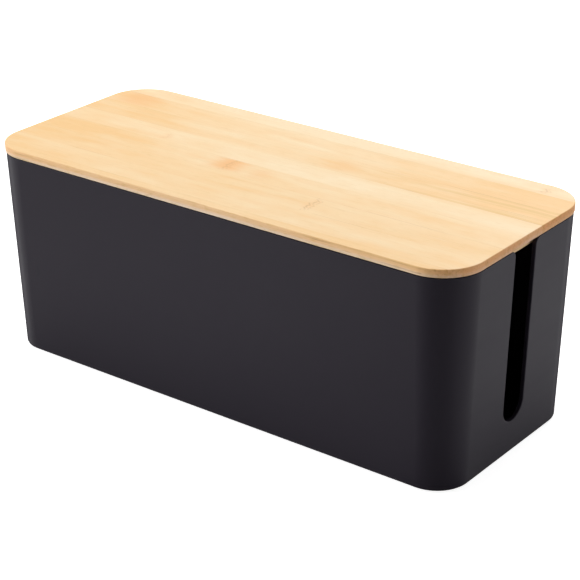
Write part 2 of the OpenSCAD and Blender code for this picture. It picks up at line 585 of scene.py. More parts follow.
@cache
def moulded_grain_effect() -> Tree:
    """The fine spark-eroded grain of a moulding."""
    net, (place, size) = new_effect("moulded_grain", place=(0, 0, 0), size=0.5)
    coarse = net.noise(place, 1.0 / size, detail=3, roughness=0.6)
    return net.outlet(height=net.fade(coarse, 0.25, 0.75))


@cache
def handling_effect() -> Tree:
    """Soft marks that hands and cloths leave, about zero, which change the gloss."""
    net, (place, size) = new_effect("handling", place=(0, 0, 0), size=40.0)
    cloudy_share, wiping_share = 0.7, 0.3
    cloudy = net.noise(place, 1.0 / size, detail=3, roughness=0.55)
    wiping = net.noise(place, (0.02, 0.02, 0.25))
    return net.outlet(gloss=cloudy * cloudy_share + wiping * wiping_share - 0.5)


@cache
def speck_effect() -> Tree:
    """Scattered specks of dust."""
    net, (place, spacing, radius) = new_effect("specks", place=(0, 0, 0), spacing=9.0, radius=0.2)
    away = net.add("ShaderNodeTexVoronoi", {"Vector": place, "Scale": 1.0 / spacing}, "Distance") * spacing
    return net.outlet(specks=net.fade(away / radius, 1.0, 0.4))


@dataclass(frozen=True)
class Handling:
    """Marks of handling: their width in millimetres, and how much rougher or smoother they are."""

    width: float
    change: float


@dataclass(frozen=True)
class Dust:
    """Specks of dust: how far apart and how large they are in millimetres, and how strong."""

    spacing: float
    radius: float
    strength: float


@dataclass(frozen=True)
class FineGrain:
    """The fine grain of a moulding or a plating: its size in millimetres, and its depth."""

    size: float
    depth: float


class Surface(Net):
    """A material's own net, round its one shader."""

    def __init__(self, name: str) -> None:
        """Starts a material."""
        self.material = bpy.data.materials.new(name)
        self.material.use_nodes = True
        super().__init__(self.material.node_tree)
        self.place = self.object_mm()

    def handled(self, marks: Handling) -> Signal:
        """How much marks of handling change the roughness."""
        return self.effect(handling_effect(), place=self.place, size=marks.width)["gloss"] * marks.change

    def dusty(self, dust: Dust) -> Signal:
        """How much specks of dust cover the colour."""
        specks = self.effect(speck_effect(), place=self.place, spacing=dust.spacing, radius=dust.radius)
        return specks["specks"] * dust.strength

    def grained(self, grain: FineGrain) -> Signal:
        """A normal that follows a fine grain."""
        height = self.effect(moulded_grain_effect(), place=self.place, size=grain.size)["height"]
        return self.bump(height, grain.depth)

    def dress(self, feeds: Feeds) -> Material:
        """Feeds the shader's sockets, and gives the material."""
        shader = next(node for node in self.tree.nodes if node.type == "BSDF_PRINCIPLED")
        for socket, value in feeds.items():
            self.feed(shader.inputs[socket], value)
        return self.material


# ---- Finishes ----


@dataclass(frozen=True)
class CulmNode:
    """A node of the stem that a lath shows.

    Attributes:
        along: Where it is along X, in millimetres.
        across: How far it is behind the lath's middle line, in millimetres.
        reach: How far its warm patch goes along and across, in millimetres.
        patch: How strong the patch is.
        ring: How strong its two rings are.
    """

    along: float
    across: float
    reach: Pair
    patch: float
    ring: float


@dataclass(frozen=True)
class LathLook:
    """How one lath differs from its neighbours.

    Attributes:
        warmth: How warm its colour is in the middle.
        ends: How much warmer it gets towards its left and its right end.
        streaks: How strong its streaks are in its left half and at its right end.
        shift: Where in the fibres' pattern it lies.
        nodes: The nodes of the stem that it shows.
        seams: How dark the glue is along its joints, in its left half and at its right end.
    """

    warmth: float
    ends: Pair
    streaks: Pair
    shift: float
    nodes: tuple[CulmNode, ...] = ()
    seams: Pair = (0.2, 0.3)

    def ground(self, to_left: Signal, to_right: Signal) -> Signal:
        """Warmth of the lath before its fibres vary it."""
        return self.warmth + to_left * self.ends[0] + to_right * self.ends[1]


@dataclass(frozen=True)
class Strip:
    """A lath or batten in its place.

    Attributes:
        look: How it differs from the others.
        beside: The looks of those behind it and before it, which its colour leans to at its joints.
        space: Its node's space.
        grain: The way that its fibres run.
    """

    look: LathLook
    beside: tuple[LathLook, LathLook]
    space: Space
    grain: Grain = Grain.ALONG_X


@dataclass(frozen=True)
class BambooFinish:
    """Sanded bamboo, with painted shade on the upper band and painted light on the lower band of its sides.
    Each strength is for a level face, and then what an upright one adds to it.
    """

    name: str
    pale: Color = (0.94, 0.745, 0.485)
    warm: Color = (0.89, 0.57, 0.255)
    streak: Color = (0.71, 0.45, 0.13)
    bundle: Color = (0.50, 0.28, 0.11)
    patch: Color = (0.88, 0.48, 0.19)
    ring: Color = (0.40, 0.21, 0.08)
    glue: Color = (0.42, 0.23, 0.10)
    # Painted shade and painted light: the upper band of each upright face is tinted darker, and the lower
    # band lighter and bluish, as light falls on the sides.
    upper_side_painted_shade: Color = (0.96, 0.885, 0.86)
    lower_side_painted_light: Color = (0.96, 1.04, 1.44)
    side_light_split: Pair = (2.8, 0.8)
    end_tint: Color = (0.87, 0.675, 0.54)
    left_fade: Pair = (-20.0, -140.0)
    right_fade: Pair = (0.0, 125.0)
    joint_reach: float = 6.0
    joint_blend: float = 0.4
    joint_calm: float = 0.6
    drift: float = 1.3
    mottle: float = 0.7
    fleck_strength: Pair = (0.14, 0.30)
    streak_strength: Pair = (0.0, 0.55)
    streak_fade: Pair = (0.45, 0.75)
    fibre_strength: Pair = (0.04, 0.22)
    fibre_fade: Pair = (0.4, 0.8)
    bundle_strength: Pair = (0.07, 0.65)
    roughness: float = 0.46
    bundle_roughness: float = 0.3
    end_roughness: float = 0.12
    handling: Handling = Handling(35.0, 0.12)
    specular: float = 0.35
    fibre_relief: float = 0.5
    bundle_relief: float = -0.6
    streak_relief: float = 0.3
    relief_depth: float = 0.02 * MM

    def warmth(self, net: Surface, strip: Strip, fibre: Mapping[str, Signal], seams: Signal) -> Signal:
        """How warm a strip's colour is from place to place.

        Args:
            net: The material's net.
            strip: The strip.
            fibre: The outputs of the fibre effect.
            seams: How dark its glue is, which parts it from its neighbours.

        Returns:
            The warmth, from 0 to 1.
        """
        along, across, _ = net.place.parts()
        ends = net.fade(along, *self.left_fade), net.fade(along, *self.right_fade)
        own = strip.look.ground(*ends)
        warmth = own
        drift = (fibre["drift"] - 0.5) * self.drift + (fibre["mottle"] - 0.5) * self.mottle
        for neighbour, joint in zip(strip.beside, (strip.space.high.y, strip.space.low.y)):
            near = net.fade(abs(across - joint / MM), self.joint_reach, 0.0) * (1.0 - seams)
            warmth += near * self.joint_blend * (neighbour.ground(*ends) - own)
            drift *= 1.0 - near * self.joint_calm
        return net.add("ShaderNodeClamp", {"Value": warmth + drift})

    def with_nodes(self, net: Surface, strip: Strip, colour: Signal) -> Signal:
        """Adds the stem's nodes that a strip shows to its colour."""
        middle = strip.space.foot.y / MM
        for node in strip.look.nodes:
            centre = (node.along, middle + node.across, 0)
            spot = net.effect(culm_node_effect(), place=net.place, centre=centre, reach=(*node.reach, 0))
            colour = net.blend(spot["patch"] * node.patch, colour, self.patch)
            colour = net.blend(spot["ring"] * node.ring, colour, self.ring)
        return colour

    def material(self, strip: Strip) -> Material:
        """Dresses one lath or batten.

        Args:
            strip: The lath or batten.

        Returns:
            The piece's material.
        """
        net = Surface(self.name)
        shift = strip.look.shift
        way_x, way_y, _ = strip.grain.value
        turn = -math.atan2(way_y, way_x)
        fibre_place = net.moved(net.place, offset=(shift, shift / 7, shift / 3), turn=turn)
        fibre = net.effect(fibre_effect(), place=fibre_place)
        upright = net.mark(UPRIGHT)
        end_grain = net.mark(END_GRAIN)
        along, _, height = net.place.parts()
        to_right = net.fade(along, *self.right_fade)
        streaked, seams = (
            left + to_right * (right - left) for left, right in (strip.look.streaks, strip.look.seams)
        )
        strengths = self.fleck_strength, self.streak_strength, self.fibre_strength, self.bundle_strength
        flecks, streaks, fibres, bundles = (level + upright * more for level, more in strengths)
        bundles = fibre["bundles"] * (bundles + streaked)
        colour = net.blend(self.warmth(net, strip, fibre, seams), self.pale, self.warm)
        for share, tone in (
            (fibre["flecks"] * flecks, self.streak),
            (net.fade(fibre["streaks"], *self.streak_fade) * (streaks + streaked), self.streak),
            (net.fade(fibre["fibres"], *self.fibre_fade) * fibres, self.streak),
            (bundles, self.bundle),
        ):
            colour = net.blend(share, colour, tone)
        colour = self.with_nodes(net, strip, colour)
        low, high = strip.space.low, strip.space.high
        glue = net.effect(glue_line_effect(), place=net.place, rear=high.y / MM, front=low.y / MM)
        colour = net.blend(glue["line"] * (1.0 - upright) * seams, colour, self.glue)
        # Painted shade on the sides' upper band, and bluish painted light on their lower band.
        lower = net.fade(height, *(low.z / MM + rise for rise in self.side_light_split))
        side_painted_light = net.blend(lower, self.upper_side_painted_shade, self.lower_side_painted_light)
        for share, end_tint_and_side_light in ((upright, side_painted_light), (end_grain, self.end_tint)):
            colour = net.blend(share, colour, net.blend(1.0, colour, end_tint_and_side_light, "MULTIPLY"))
        roughness = self.roughness + net.handled(self.handling) + bundles * self.bundle_roughness
        relief = fibre["fibres"] * self.fibre_relief + fibre["bundles"] * self.bundle_relief
        relief += fibre["streaks"] * self.streak_relief
        return net.dress({
            "Base Color": colour,
            "Roughness": roughness + end_grain * self.end_roughness,
            "Specular IOR Level": self.specular,
            "Normal": net.bump(relief, self.relief_depth),
        })


@dataclass(frozen=True)
class MouldedPlastic:
    """Satin charcoal plastic with a fine moulded grain, and arrises painted lighter in patches, as worn edges
    and as a painted highlight.
    """

    name: str = "tub_plastic"
    colour: Color = (0.0172, 0.0140, 0.0212)
    # Arrises are lighter in patches: partly real worn spots, and partly a painted highlight where the edges
    # catch light.
    arris_wear_and_glint_colour: Color = (0.030, 0.0255, 0.036)
    wear_and_glint_scale: float = 0.12
    wear_and_glint_fade: Pair = (0.35, 0.65)
    rim_cover: Pair = (0.8, 1.6)
    dust_colour: Color = (0.10, 0.095, 0.10)
    dust: Dust = Dust(11.0, 0.22, 0.35)
    roughness: float = 0.42
    arris_roughness: float = -0.06
    glancing: Pair = (0.6, 0.95)
    glancing_roughness: float = 0.45
    handling: Handling = Handling(45.0, 0.16)
    specular: float = 0.10
    grain: FineGrain = FineGrain(0.55, 0.012 * MM)

    def material(self, rim: float) -> Material:
        """Builds the material.

        Args:
            rim: The rim's height, where the board covers the plastic, so its arrises are neither worn nor
                given the painted highlight.

        Returns:
            The moulding's material.
        """
        net = Surface(self.name)
        arris = net.mark(ARRIS)
        height = net.place.parts()[2]
        open_to_wear_and_glint = net.fade(height, *(rim / MM - cover for cover in self.rim_cover))
        wear_and_glint = net.fade(net.noise(net.place, self.wear_and_glint_scale, detail=3), *self.wear_and_glint_fade)
        # Lighter arrises below the board's cover: worn spots, together with a painted highlight.
        colour = net.blend(arris * wear_and_glint * open_to_wear_and_glint, self.colour, self.arris_wear_and_glint_colour)
        facing = net.add("ShaderNodeLayerWeight", {"Blend": 0.5}, "Facing")
        glancing = net.fade(facing, *self.glancing) * self.glancing_roughness
        roughness = self.roughness + net.handled(self.handling) + arris * self.arris_roughness + glancing
        return net.dress({
            "Base Color": net.blend(net.dusty(self.dust), colour, self.dust_colour),
            "Roughness": roughness,
            "Specular IOR Level": self.specular,
            "Normal": net.grained(self.grain),
        })


@dataclass(frozen=True)
class Silicone:
    """Matt black silicone, which picks up lint."""

    name: str
    colour: Color = (0.02, 0.02, 0.02)
    lint_colour: Color = (0.16, 0.155, 0.15)
    lint: Dust = Dust(2.2, 0.09, 0.5)
    film_scale: float = 0.5
    film_fade: Pair = (0.4, 0.75)
    film_strength: float = 0.08
    roughness: float = 0.6
    handling: Handling = Handling(6.0, 0.2)
    grain: FineGrain = FineGrain(0.3, 0.01 * MM)

    def material(self) -> Material:
        """Builds the material."""
        net = Surface(self.name)
        film = net.fade(net.noise(net.place, self.film_scale, detail=3), *self.film_fade)
        lint = net.dusty(self.lint) + film * self.film_strength
        return net.dress({
            "Base Color": net.blend(lint, self.colour, self.lint_colour),
            "Roughness": self.roughness + net.handled(self.handling),
            "Normal": net.grained(self.grain),
        })


@dataclass(frozen=True)
class ZincSteel:
    """Bright zinc plate on steel, with a faint cloudy tarnish."""

    name: str = "screw_steel"
    colour: Color = (0.60, 0.60, 0.62)
    tarnish: Color = (0.42, 0.41, 0.40)
    cloud_scale: float = 0.9
    cloud_fade: Pair = (0.45, 0.75)
    cloud_roughness: float = 0.15
    roughness: float = 0.3
    grain: FineGrain = FineGrain(0.18, 0.004 * MM)

    def material(self) -> Material:
        """Builds the material."""
        net = Surface(self.name)
        cloud = net.fade(net.noise(net.place, self.cloud_scale, detail=4, roughness=0.6), *self.cloud_fade)
        return net.dress({
            "Base Color": net.blend(cloud, self.colour, self.tarnish),
            "Metallic": 1.0,
            "Roughness": self.roughness + cloud * self.cloud_roughness,
            "Normal": net.grained(self.grain),
        })


# ---- The box ----


@dataclass
class Tub:
    """The moulded tub, with leaning walls, a cable slot in each end and a recess for each foot."""

    rim_radius: float = 24 * MM
    wall: float = 2.5 * MM
    floor: float = 2.5 * MM
    wall_lean: float = 4.3 * MM
    bottom_round: float = 1.5 * MM
    inner_round: float = 3 * MM
    rim_edge: float = 0.45 * MM
    slot_width: float = 20 * MM
    slot_bottom: float = 19.5 * MM
    mouth_round: float = 4 * MM
    mouth_rise: float = 0.02 * MM
    recess_diameter: float = 12.4 * MM
    recess_depth: float = 0.8 * MM
    recess_edge: float = 0.15 * MM
    plastic: MouldedPlastic = MouldedPlastic()
    kind: Kind = Kind("moulded", Body.BOX, Slot.TUB)

    def __post_init__(self) -> None:
        """Takes the tub's outer size from its node."""
        self.low, self.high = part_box("tub")
        self.height = self.high.z - self.low.z
        self.corner_x = self.high.x - self.rim_radius
        self.corner_y = self.high.y - self.rim_radius
        self.lean = self.wall_lean / self.height
        self.level_wall = self.wall * math.sqrt(1 + self.lean**2)

    def outer_radius(self, height: float) -> float:
        """Plan radius of the outer corners at a height above the tub's underside."""
        return self.rim_radius - (self.height - height) * self.lean

    def corner_axis(self, corner: Corner, z: float) -> Vector:
        """A point on a corner's upright axis."""
        side_x, side_y = corner.value
        return Vector((side_x * self.corner_x, side_y * self.corner_y, z))

    def section(self, mesh: Mesh) -> list[Edge]:
        """Draws the half section of wall and floor at the front left corner, pointing to the front."""
        points = [
            (0, 0), (self.outer_radius(0), 0), (self.rim_radius, self.height),
            (self.rim_radius - self.level_wall, self.height),
            (self.outer_radius(self.floor) - self.level_wall, self.floor), (0, self.floor),
        ]
        axis = self.corner_axis(Corner.FRONT_LEFT, self.low.z)
        outline = flat_outline(mesh, (axis + Vector((0, -radius, height)) for radius, height in points))
        corners = list(outline.verts)
        bevel(mesh, [corners[1]], self.bottom_round, 6, "VERTICES")
        bevel(mesh, [corners[4]], self.inner_round, 8, "VERTICES")
        bmesh.ops.delete(mesh, geom=mesh.faces[:], context="FACES_KEEP_BOUNDARY")
        on_axis = [edge for edge in mesh.edges if all(abs(vert.co.y - axis.y) < WELD for vert in edge.verts)]
        bmesh.ops.delete(mesh, geom=on_axis, context="EDGES")
        return mesh.edges[:]

    def sweep(self, mesh: Mesh, edges: list[Edge]) -> None:
        """Takes the half section along the four sides and round the four corners."""
        length = Vector((2 * self.corner_x, 0, 0))
        width = Vector((0, 2 * self.corner_y, 0))
        route = {
            Corner.FRONT_RIGHT: length,
            Corner.REAR_RIGHT: width,
            Corner.REAR_LEFT: -length,
            Corner.FRONT_LEFT: -width,
        }
        for corner, way in route.items():
            made = bmesh.ops.extrude_edge_only(mesh, edges=edges)["geom"]
            verts = picked(Vert, made)
            bmesh.ops.translate(mesh, verts=verts, vec=way)
            spun = bmesh.ops.spin(
                mesh, geom=verts + picked(Edge, made), cent=self.corner_axis(corner, 0), axis=(0, 0, 1),
                dvec=(0, 0, 0), angle=math.pi / 2, steps=CORNER_STEPS, use_duplicate=False,
            )
            edges = picked(Edge, spun["geom_last"])
        bmesh.ops.remove_doubles(mesh, verts=mesh.verts[:], dist=SWEEP_WELD)
        bmesh.ops.dissolve_degenerate(mesh, edges=mesh.edges[:], dist=SWEEP_WELD)
        bmesh.ops.holes_fill(mesh, edges=[edge for edge in mesh.edges if edge.is_boundary], sides=0)
        bmesh.ops.recalc_face_normals(mesh, faces=mesh.faces[:])

    def slot_cutter(self, end: End) -> Mesh:
        """The solid that cuts one cable slot: round below, with a flared mouth at the rim."""
        half = self.slot_width / 2
        low = self.low.z + self.slot_bottom
        rim = self.high.z + self.mouth_rise
        flare = half + self.mouth_round + PAST
        points = [
            (-half, low), (half, low), (half, rim), (flare, rim),
            (flare, rim + PAST), (-flare, rim + PAST), (-flare, rim), (-half, rim),
        ]
        depth = self.wall_lean + self.level_wall + 2 * PAST
        start = end.value * (self.high.x + PAST)
        cutter = fresh_mesh()
        outline = flat_outline(cutter, (Vector((start, y, z)) for y, z in points))
        corners = list(outline.verts)
        bevel(cutter, corners[0:2], half, 18, "VERTICES")
        bevel(cutter, [corners[2], corners[7]], self.mouth_round, 8, "VERTICES")
        bmesh.ops.remove_doubles(cutter, verts=cutter.verts[:], dist=SWEEP_WELD)
        pull(cutter, cutter.faces[:][0], Vector((-end.value * depth, 0, 0)))
        return cutter

    def build(self) -> None:
        """Moulds the tub."""
        mesh = fresh_mesh()
        self.sweep(mesh, self.section(mesh))
        for end in End:
            mesh = carve(mesh, self.slot_cutter(end))
        recesses = fresh_mesh()
        for corner in Corner:
            foot = self.corner_axis(corner, self.low.z - PAST)
            peg(recesses, foot, self.recess_depth + PAST, self.recess_diameter / 2)
        mesh = carve(mesh, recesses)
        above = self.low.z + self.slot_bottom - PAST
        round_edges(mesh, sharp_edges(mesh, lambda middle: middle.z > above), self.rim_edge, 4)
        below = self.low.z + self.recess_depth / 2
        round_edges(mesh, sharp_edges(mesh, lambda middle: middle.z < below), self.recess_edge, 2)
        install(mesh, self.kind, "tub", self.plastic.material(self.high.z))


@dataclass
class Feet:
    """The four silicone feet."""

    edge: float = 0.6 * MM
    top_edge: float = 0.15 * MM
    groove_radius: float = 3.6 * MM
    groove_width: float = 0.8 * MM
    groove_depth: float = 0.35 * MM
    rim_share: float = 0.9
    silicone: Silicone = Silicone("foot_silicone")
    kind: Kind = Kind("silicone", Body.BOX, Slot.FOOT)

    def build(self) -> None:
        """Makes each foot, with a shallow ring groove in its underside."""
        finish = self.silicone.material()
        inner = self.groove_radius - self.groove_width / 2
        outer = self.groove_radius + self.groove_width / 2
        slope = self.groove_depth / 2
        for corner in Corner:
            space = Space(f"foot_{corner.label}")
            mesh = turned(space.foot, [
                (0, 0), (inner, 0), (inner + slope, self.groove_depth), (outer - slope, self.groove_depth),
                (outer, 0), (space.radius, 0), (space.radius, space.height), (0, space.height),
            ])
            middle = space.foot.z + space.height / 2
            rim = space.radius * self.rim_share
            round_edges(mesh, sharp_edges(mesh, lambda point: point.z > middle), self.top_edge, 2)
            outside = sharp_edges(mesh, lambda point: point.z < middle and (point - space.foot).length > rim)
            round_edges(mesh, outside, self.edge, 5)
            install(mesh, self.kind, space.node, finish)


@dataclass
class Pads:
    """The four thin silicone pads that the board rests on."""

    edge: float = 0.12 * MM
    silicone: Silicone = Silicone("pad_silicone")
    kind: Kind = Kind("silicone", Body.LID, Slot.PAD)

    def build(self) -> None:
        """Makes each pad."""
        finish = self.silicone.material()
        for corner in Corner:
            space = Space(f"pad_{corner.label}")
            section = [(0, 0), (space.radius, 0), (space.radius, space.height), (0, space.height)]
            mesh = turned(space.foot, section, 48)
            round_edges(mesh, sharp_edges(mesh), self.edge, 3)
            install(mesh, self.kind, space.node, finish)


@dataclass
class Screws:
    """The four countersunk screws that hold the battens, with their heads down."""

    head_height: float = 1.8 * MM
    rim_height: float = 0.15 * MM
    core_radius: float = 1.08 * MM
    root_share: float = 0.9
    thread_radius: float = 1.5 * MM
    thread_start: float = 2.6 * MM
    pitch: float = 1.1 * MM
    tip_height: float = 1.5 * MM
    cross_span: float = 3.2 * MM
    cross_width: float = 0.9 * MM
    cross_depth: float = 1.2 * MM
    cross_taper: float = 0.6
    edge: float = 0.05 * MM
    steps_round: int = 24
    steel: ZincSteel = ZincSteel()
    kind: Kind = Kind("countersunk", Body.LID, Slot.SCREW)

    def __post_init__(self) -> None:
        """Takes each screw's space from its node, with its head on the batten's lower face."""
        self.spaces = {corner: Space(f"screw_{corner.label}") for corner in Corner}

    def cross_cutter(self, place: Vector, along_x: bool) -> Mesh:
        """The cutter for one tapered arm of the cross recess."""
        cutter = fresh_mesh()
        span, width = self.cross_span / 2, self.cross_width / 2
        reach = Vector((span, width, 0) if along_x else (width, span, 0))
        low = place - reach - Vector((0, 0, PAST))
        verts = block(cutter, low, place + reach + Vector((0, 0, self.cross_depth)))
        deep = [vert for vert in verts if vert.co.z > place.z]
        squeeze = (self.cross_taper, 1, 1) if along_x else (1, self.cross_taper, 1)
        bmesh.ops.scale(cutter, verts=deep, vec=squeeze, space=Matrix.Translation(-place))
        return cutter

    def thread(self, mesh: Mesh, space: Space) -> None:
        """Winds the thread's ridge round the core, in whole turns up to the tip."""
        start = space.foot + Vector((0, 0, self.thread_start))
        turns = int((space.height - self.tip_height - self.thread_start) / self.pitch)
        root = self.core_radius * self.root_share
        ridge = [(root, 0), (self.thread_radius, self.pitch / 4), (root, self.pitch / 2)]
        bmesh.ops.spin(
            mesh, geom=half_section(mesh, start, ridge, closed=True), cent=start, axis=(0, 0, 1),
            dvec=(0, 0, self.pitch / self.steps_round), angle=math.tau * turns,
            steps=self.steps_round * turns, use_duplicate=False,
        )
        bmesh.ops.holes_fill(mesh, edges=[edge for edge in mesh.edges if edge.is_boundary], sides=0)

    def build(self) -> None:
        """Makes each screw."""
        finish = self.steel.material()
        for space in self.spaces.values():
            mesh = turned(space.foot, [
                (0, 0), (space.radius, 0), (space.radius, self.rim_height),
                (self.thread_radius, self.head_height), (self.core_radius, self.thread_start),
                (self.core_radius, space.height - self.tip_height), (0, space.height),
            ], 48)
            for along_x in (True, False):
                mesh = carve(mesh, self.cross_cutter(space.foot, along_x))
            brow = space.foot.z + self.rim_height / 3
            round_edges(mesh, sharp_edges(mesh, lambda point: point.z < brow), self.edge, 2)
            self.thread(mesh, space)
            install(mesh, self.kind, space.node, finish)


@dataclass
class LidBoard:
    """The board of glued laths."""

    plan_radius: float = 24.5 * MM
    edge_round: float = 0.5 * MM
    joint_arris: float = 0.04 * MM
    screw_hole: float = 3.1 * MM
    looks: tuple[LathLook, ...] = (
        LathLook(0.02, (0.24, 0.30), (0.03, 0.04), 11, (CulmNode(137, -2, (5, 4), 0.3, 0.25),)),
        LathLook(0.36, (0.34, 0.76), (0.04, 0.08), 173, (CulmNode(-140, 2, (24, 14), 0.60, 0.0),)),
        LathLook(0.38, (0.46, 0.68), (0.10, 0.52), 338, (CulmNode(27, 0, (16, 9), 0.25, 0.0),), (0.2, 0.9)),
        LathLook(0.05, (0.46, 0.25), (0.02, 0.02), 521, (CulmNode(-84, -2, (6, 5), 0.25, 0.1),)),
        LathLook(
            0.50, (0.32, 0.05), (0.05, 0.05), 702,
            (CulmNode(-25, 2.5, (17, 10), 0.9, 0.25), CulmNode(-2, 0, (12, 8), 0.3, 0)),
        ),
        LathLook(0.56, (0.20, 0.05), (0.06, 0.06), 905, (CulmNode(47, 0, (5, 10), 0.2, 0.3),)),
        LathLook(0.38, (0.30, 0.26), (0.05, 0.05), 1039),
        LathLook(0.60, (0.16, 0.16), (0.07, 0.07), 1210),
    )
    bamboo: BambooFinish = BambooFinish("lid_bamboo")
    kind: Kind = Kind("bamboo", Body.LID, Slot.LID)

    def __post_init__(self) -> None:
        """Takes each lath's space from its node."""
        self.spaces = [Space(f"lath_{number}") for number in range(1, len(self.looks) + 1)]
        self.low = Vector(map(min, zip(*(space.low for space in self.spaces))))
        self.high = Vector(map(max, zip(*(space.high for space in self.spaces))))

    def board(self) -> Mesh:
        """The whole board, with rounded corners and edges."""
        mesh = rounded_block(self.low, self.high, self.plan_radius)
        round_edges(mesh, sharp_edges(mesh), self.edge_round, 5)
        return mesh

    def cut(self, board: Mesh, at: float, side: int) -> None:
        """Saws a board along X, keeps what lies to one side along Y, and closes and eases the sawn face.

        Args:
            board: The board to saw.
            at: Where the cut is along Y.
            side: The side along Y that is thrown away.
        """
        everything = board.verts[:] + board.edges[:] + board.faces[:]
        sawn = bmesh.ops.bisect_plane(
            board, geom=everything, dist=WELD, plane_co=(0, at, 0), plane_no=(0, side, 0), clear_outer=True
        )
        loop = picked(Edge, sawn["geom_cut"])
        bmesh.ops.edgeloop_fill(board, edges=loop)
        round_edges(board, loop, self.joint_arris, 1)

    def lath(self, board: Mesh, space: Space, screws: Screws) -> Mesh:
        """Saws one lath out of a board, and drills it where a screw goes in.

        Args:
            board: The whole board.
            space: The space of the lath's node.
            screws: The screws.

        Returns:
            The lath.
        """
        mesh = board.copy()
        if space.high.y < self.high.y - PAST:
            self.cut(mesh, space.high.y, 1)
        if space.low.y > self.low.y + PAST:
            self.cut(mesh, space.low.y, -1)
        held = [screw for screw in screws.spaces.values() if space.low.y < screw.foot.y < space.high.y]
        if held:
            holes = fresh_mesh()
            for screw in held:
                peg(holes, screw.foot, screw.height, self.screw_hole / 2)
            mesh = carve(mesh, holes)
        mark_grain(mesh, Grain.ALONG_X)
        return mesh

    def build(self, screws: Screws) -> None:
        """Saws the laths out of one board, so that their faces run on across the joints."""
        board = self.board()
        row = (self.looks[0], *self.looks, self.looks[-1])
        for space, behind, look, before in zip(self.spaces, row, row[1:], row[2:]):
            finish = self.bamboo.material(Strip(look, (behind, before), space))
            install(self.lath(board, space, screws), self.kind, space.node, finish)
        board.free()


@dataclass
class Battens:
    """The two battens below the board, whose ends follow the tub's mouth."""

    chamfer: float = 0.5 * MM
    arris: float = 0.12 * MM
    arris_angle: float = math.radians(40)
    screw_hole: float = 3.1 * MM
    head_gap: float = 0.05 * MM
    looks: tuple[LathLook, ...] = (
        LathLook(0.5, (0, 0), (0.3, 0.3), 1433, seams=(0, 0)),
        LathLook(0.6, (0, 0), (0.34, 0.34), 1702, seams=(0, 0)),
    )
    # The battens' bamboo is darker than the board's: painted shade, for where they sit under the board.
    bamboo: BambooFinish = BambooFinish(
        "batten_bamboo", pale=(0.76, 0.54, 0.31), warm=(0.66, 0.42, 0.20), roughness=0.6, specular=0.25
    )
    kind: Kind = Kind("bamboo", Body.LID, Slot.BATTEN)

    def mouth(self, tub: Tub, space: Space) -> Mesh:
        """Makes the block that fits the tub's mouth, with its corners on the tub's corner axes.

        Args:
            tub: The tub.
            space: The space of a batten's node.

        Returns:
            The block, which is a little taller than the batten.
        """
        low, high = space.low, space.high
        inner_x = min(abs(low.x), abs(high.x))
        radius = math.hypot(inner_x - tub.corner_x, high.y - tub.corner_y)
        reach_x, reach_y = tub.corner_x + radius, tub.corner_y + radius
        bottom = Vector((-reach_x, -reach_y, low.z - PAST))
        return rounded_block(bottom, Vector((reach_x, reach_y, high.z + PAST)), radius)

    def batten(self, space: Space, screws: Screws, tub: Tub) -> Mesh:
        """Makes one batten, drilled and countersunk for its two screws.

        Args:
            space: The space of its node.
            screws: The screws.
            tub: The tub.

        Returns:
            The batten.
        """
        mesh = fresh_mesh()
        low, high = space.low, space.high
        spare = Vector((0, PAST, 0))
        block(mesh, low - spare, high + spare)
        lower = [edge for edge in edges_along(mesh, 1) if edge.verts[0].co.z < low.z + WELD]
        round_edges(mesh, lower, self.chamfer, 1)
        mesh = carve(mesh, self.mouth(tub, space), Carving.TO_FIT)
        shanks = fresh_mesh()
        heads = fresh_mesh()
        for screw in (screw for screw in screws.spaces.values() if low.x < screw.foot.x < high.x):
            peg(shanks, screw.foot - Vector((0, 0, PAST)), screw.height + PAST, self.screw_hole / 2)
            peg(heads, screw.foot, screws.head_height, screw.radius + self.head_gap, self.screw_hole / 2)
        mesh = carve(carve(mesh, shanks), heads)
        outer = sharp_edges(mesh, lambda middle: middle.z < high.z - WELD, self.arris_angle)
        round_edges(mesh, outer, self.arris, 2)
        mark_grain(mesh, Grain.ALONG_Y)
        return mesh

    def build(self, screws: Screws, tub: Tub) -> None:
        """Makes both battens."""
        for end, look in zip(End, self.looks):
            space = Space(f"batten_{end.label}")
            finish = self.bamboo.material(Strip(look, (look, look), space, Grain.ALONG_Y))
            install(self.batten(space, screws, tub), self.kind, space.node, finish)


# ---- The studio ----


@dataclass(frozen=True)
class Lamp:
    """A soft square lamp."""

    name: str
    place: tuple[float, float, float]
    size: float
    power: float
    aim: tuple[float, float, float] = (0, 0, 0.06)

    def build(self) -> None:
        """Hangs the lamp and turns it to what it lights."""
        data = bpy.data.lights.new(self.name, "AREA")
        data.shape = "SQUARE"
        data.size = self.size
        data.energy = self.power
        lamp = placed(self.name, data)
        lamp.location = self.place
        lamp.rotation_mode = "QUATERNION"
        lamp.rotation_quaternion = (Vector(self.aim) - Vector(self.place)).to_track_quat("-Z", "Y")


